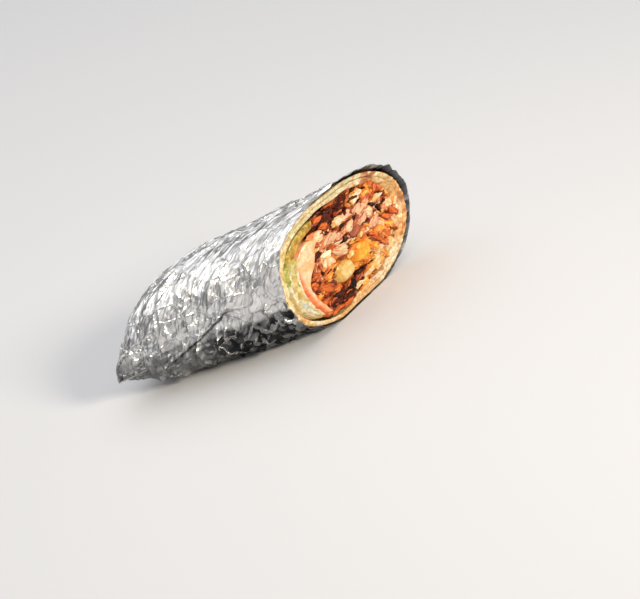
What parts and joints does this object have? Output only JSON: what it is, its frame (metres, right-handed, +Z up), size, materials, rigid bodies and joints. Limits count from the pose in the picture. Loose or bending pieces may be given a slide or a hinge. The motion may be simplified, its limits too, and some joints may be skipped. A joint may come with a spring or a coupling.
{
  "type": "chicken shawarma wrap half",
  "caption": "Foil-wrapped flatbread roll, cut on the slant, with chopped chicken, fries, tomato, pickle and salad showing at the cut.",
  "frame": {"origin": "middle of the footprint of the whole part's box, on the surface it lies on", "axes": "+X from the folded tail to the cut end, +Y to the back, where the slanting cut reaches further, +Z up"},
  "size_m": [0.151, 0.0622, 0.0602],
  "materials": {
    "foil": "crumpled thin foil, bright",
    "bread": "soft thin flatbread, matte with toasted spots",
    "tomato": "wet peach flesh with an orange-red skin",
    "salad": "moist pale shredded leaves",
    "pickle": "wet olive green",
    "chicken": "chopped roast chicken in an oily orange-brown sauce",
    "potato": "fried potato, pale floury inside and golden outside"
  },
  "bodies": {
    "root": {"foil_wrap": "foil", "flatbread": "bread", "tomato_slice": "tomato", "salad": "salad", "pickle_slice": "pickle", "chicken_filling": "chicken", "fry_pale": "potato", "fry_gold": "potato", "fry_side": "potato"}
  },
  "joints": []
}
